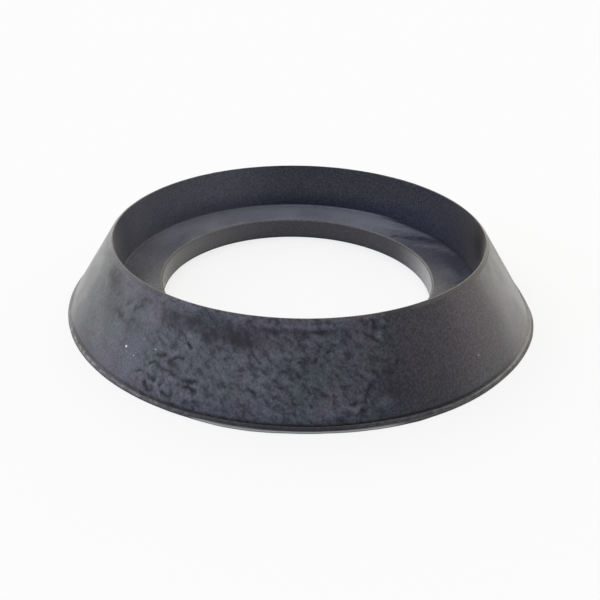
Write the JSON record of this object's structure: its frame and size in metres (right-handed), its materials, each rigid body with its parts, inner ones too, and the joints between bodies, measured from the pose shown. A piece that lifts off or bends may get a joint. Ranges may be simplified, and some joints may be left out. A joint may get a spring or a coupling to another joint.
{
  "type": "tank to bowl gasket",
  "caption": "Conical rubber sealing ring with a flat foot, a thin upper lip, a nut recess and a plain round bore, squeezed between a toilet tank and bowl.",
  "frame": {"origin": "on the ring's axis, at the flat underside of the foot", "axes": "+Z along the ring's axis, from the foot up towards the lip; X and Y are free, because the ring is the same all round"},
  "size_m": [0.104, 0.104, 0.0167],
  "materials": {
    "black_rubber": "matt moulded vulcanised rubber with a light bluish grey bloom"
  },
  "bodies": {
    "root": {"gasket": "black_rubber"}
  },
  "joints": []
}
